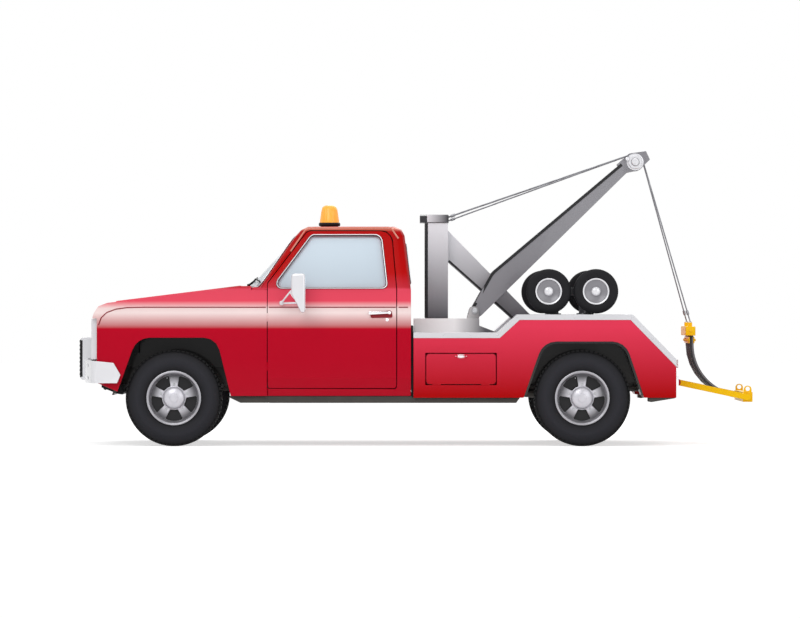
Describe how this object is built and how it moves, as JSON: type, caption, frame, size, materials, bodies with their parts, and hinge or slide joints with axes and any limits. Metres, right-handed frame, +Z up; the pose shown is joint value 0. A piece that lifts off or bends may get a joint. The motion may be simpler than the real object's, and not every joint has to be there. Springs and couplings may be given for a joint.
{
  "type": "tow truck",
  "caption": "Tow truck: regular-cab pickup chassis with a side-box wrecker body, fixed mast, raking twin-leg boom, hoist lines and tow sling, with stowed dolly wheels.",
  "frame": {"origin": "ground level under the middle of the truck's overall length, on its centre line", "axes": "+X to the tail, +Y to the truck's right side, +Z up"},
  "size_m": [5.564, 2.45, 2.442],
  "materials": {
    "red_paint": "gloss",
    "black_paint": "satin",
    "axle_steel": "matte",
    "cast_iron": "matte",
    "exhaust_steel": "satin",
    "glass": "gloss",
    "seat_vinyl": "satin",
    "black_plastic": "matte",
    "chrome": "gloss",
    "lamp_glass": "gloss",
    "amber": "gloss",
    "grey_deck": "satin",
    "light_grey_paint": "satin",
    "grey_paint": "satin",
    "dark_grey_paint": "satin",
    "wire_rope": "satin",
    "rim_silver": "satin",
    "tyre": "matte",
    "yellow_paint": "satin",
    "belt_rubber": "matte"
  },
  "bodies": {
    "root": {"frame": "black_paint", "front_axle": "axle_steel", "rear_axle": "axle_steel", "engine": "cast_iron", "driveline": "axle_steel", "exhaust": "exhaust_steel", "fuel_tank": "axle_steel", "cab_shell": "red_paint", "cab_glass": "glass", "bench_seat": "seat_vinyl", "dashboard": "black_plastic", "fenders": "red_paint", "inner_panels": "black_paint", "rear_liner_left": "black_paint", "rear_liner_right": "black_paint", "grille": "chrome", "lamps": "lamp_glass", "front_bumper": "chrome", "push_guards": "chrome", "beacon": "amber", "bed_sides": "red_paint", "deck_plates": "grey_deck", "tail_panel": "red_paint", "pedestal": "light_grey_paint", "mast": "grey_paint", "mast_head": "dark_grey_paint", "boom_lines": "wire_rope", "dolly_frames": "grey_paint"},
    "door_right": {"door_right": "red_paint", "door_glass_right": "glass", "mirror_and_handle_right": "chrome"},
    "door_left": {"door_left": "red_paint", "door_glass_left": "glass", "mirror_and_handle_left": "chrome"},
    "hood": {"hood": "red_paint"},
    "toolbox_door_right": {"toolbox_door_right": "red_paint"},
    "toolbox_door_left": {"toolbox_door_left": "red_paint"},
    "knuckle_left": {"knuckle_left": "axle_steel"},
    "knuckle_right": {"knuckle_right": "axle_steel"},
    "tie_rod": {"tie_rod": "axle_steel"},
    "steering_wheel": {"steering_wheel": "black_plastic"},
    "boom": {"boom": "grey_paint"},
    "sling": {"hoist_lines": "wire_rope", "sling_bars": "yellow_paint", "sling_belts": "belt_rubber", "chain_lugs": "yellow_paint"},
    "sling_struts": {"sling_struts": "yellow_paint"},
    "wheel_front_left": {"wheel_front_left": "rim_silver", "tyre_front_left": "tyre"},
    "dolly_wheel_front_left": {"dolly_wheel_front_left": "tyre"},
    "wheel_front_right": {"wheel_front_right": "rim_silver", "tyre_front_right": "tyre"},
    "dolly_wheel_front_right": {"dolly_wheel_front_right": "tyre"},
    "wheel_rear_left": {"wheel_rear_left": "rim_silver", "tyre_rear_left": "tyre"},
    "dolly_wheel_rear_left": {"dolly_wheel_rear_left": "tyre"},
    "wheel_rear_right": {"wheel_rear_right": "rim_silver", "tyre_rear_right": "tyre"},
    "dolly_wheel_rear_right": {"dolly_wheel_rear_right": "tyre"}
  },
  "joints": [
    {"name": "steer_left", "type": "hinge", "parent": "root", "child": "knuckle_left", "pos_m": [-1.982, -0.777, 0.395], "axis": [0, 0, 1], "range_deg": [-30, 30]},
    {"name": "roll_front_left", "type": "hinge", "parent": "knuckle_left", "child": "wheel_front_left", "pos_m": [-1.982, -0.867, 0.395], "axis": [0, 1, 0], "continuous": true},
    {"name": "roll_rear_left", "type": "hinge", "parent": "root", "child": "wheel_rear_left", "pos_m": [1.358, -0.867, 0.395], "axis": [0, 1, 0], "continuous": true},
    {"name": "roll_dolly_front_left", "type": "hinge", "parent": "root", "child": "dolly_wheel_front_left", "pos_m": [1.087, -0.815, 1.268], "axis": [0, 1, 0], "continuous": true},
    {"name": "roll_dolly_rear_left", "type": "hinge", "parent": "root", "child": "dolly_wheel_rear_left", "pos_m": [1.475, -0.815, 1.268], "axis": [0, 1, 0], "continuous": true},
    {"name": "door_left_hinge", "type": "hinge", "parent": "root", "child": "door_left", "pos_m": [-1.216, -1, 0.9], "axis": [0, 0, -1], "range_deg": [0, 62]},
    {"name": "toolbox_left_hinge", "type": "hinge", "parent": "root", "child": "toolbox_door_left", "pos_m": [0.3665, -1, 0.505], "axis": [1, 0, 0], "range_deg": [0, 95]},
    {"name": "steer_right", "type": "hinge", "parent": "root", "child": "knuckle_right", "pos_m": [-1.982, 0.777, 0.395], "axis": [0, 0, 1], "range_deg": [-30, 30]},
    {"name": "roll_front_right", "type": "hinge", "parent": "knuckle_right", "child": "wheel_front_right", "pos_m": [-1.982, 0.867, 0.395], "axis": [0, 1, 0], "continuous": true},
    {"name": "roll_rear_right", "type": "hinge", "parent": "root", "child": "wheel_rear_right", "pos_m": [1.358, 0.867, 0.395], "axis": [0, 1, 0], "continuous": true},
    {"name": "roll_dolly_front_right", "type": "hinge", "parent": "root", "child": "dolly_wheel_front_right", "pos_m": [1.087, 0.815, 1.268], "axis": [0, 1, 0], "continuous": true},
    {"name": "roll_dolly_rear_right", "type": "hinge", "parent": "root", "child": "dolly_wheel_rear_right", "pos_m": [1.475, 0.815, 1.268], "axis": [0, 1, 0], "continuous": true},
    {"name": "door_right_hinge", "type": "hinge", "parent": "root", "child": "door_right", "pos_m": [-1.216, 1, 0.9], "axis": [0, 0, 1], "range_deg": [0, 62]},
    {"name": "toolbox_right_hinge", "type": "hinge", "parent": "root", "child": "toolbox_door_right", "pos_m": [0.3665, 1, 0.505], "axis": [-1, 0, 0], "range_deg": [0, 95]},
    {"name": "tie_rod_pivot", "type": "hinge", "parent": "knuckle_left", "child": "tie_rod", "pos_m": [-1.852, -0.777, 0.318], "axis": [0, 0, 1], "range_deg": [-30, 30]},
    {"name": "steering_wheel_turn", "type": "hinge", "parent": "root", "child": "steering_wheel", "pos_m": [-0.907, -0.4, 1.123], "axis": [0.8594, 0, 0.5114], "range_deg": [-450, 450]},
    {"name": "hood_hinge", "type": "hinge", "parent": "root", "child": "hood", "pos_m": [-1.429, 0, 1.308], "axis": [0, 1, 0], "range_deg": [0, 50]},
    {"name": "boom_lift", "type": "hinge", "parent": "root", "child": "boom", "pos_m": [0.488, 0, 1.11], "axis": [0, -1, 0], "range_deg": [-4, 10], "deforming": ["boom_lines"]},
    {"name": "sling_swing", "type": "hinge", "parent": "boom", "child": "sling", "pos_m": [1.831, 0, 2.351], "axis": [0, -1, 0], "range_deg": [-3.5, 2]},
    {"name": "strut_swing", "type": "hinge", "parent": "root", "child": "sling_struts", "pos_m": [2.158, 0, 0.518], "axis": [0, -1, 0], "range_deg": [-13.5, 33]}
  ],
  "couplings": [
    {"joint": "steer_right", "follows": "steer_left", "ratio": 1},
    {"joint": "tie_rod_pivot", "follows": "steer_left", "ratio": -1},
    {"joint": "steering_wheel_turn", "follows": "steer_left", "ratio": 15},
    {"joint": "sling_swing", "follows": "boom_lift", "ratio": -0.287},
    {"joint": "strut_swing", "follows": "boom_lift", "ratio": 3.25}
  ]
}
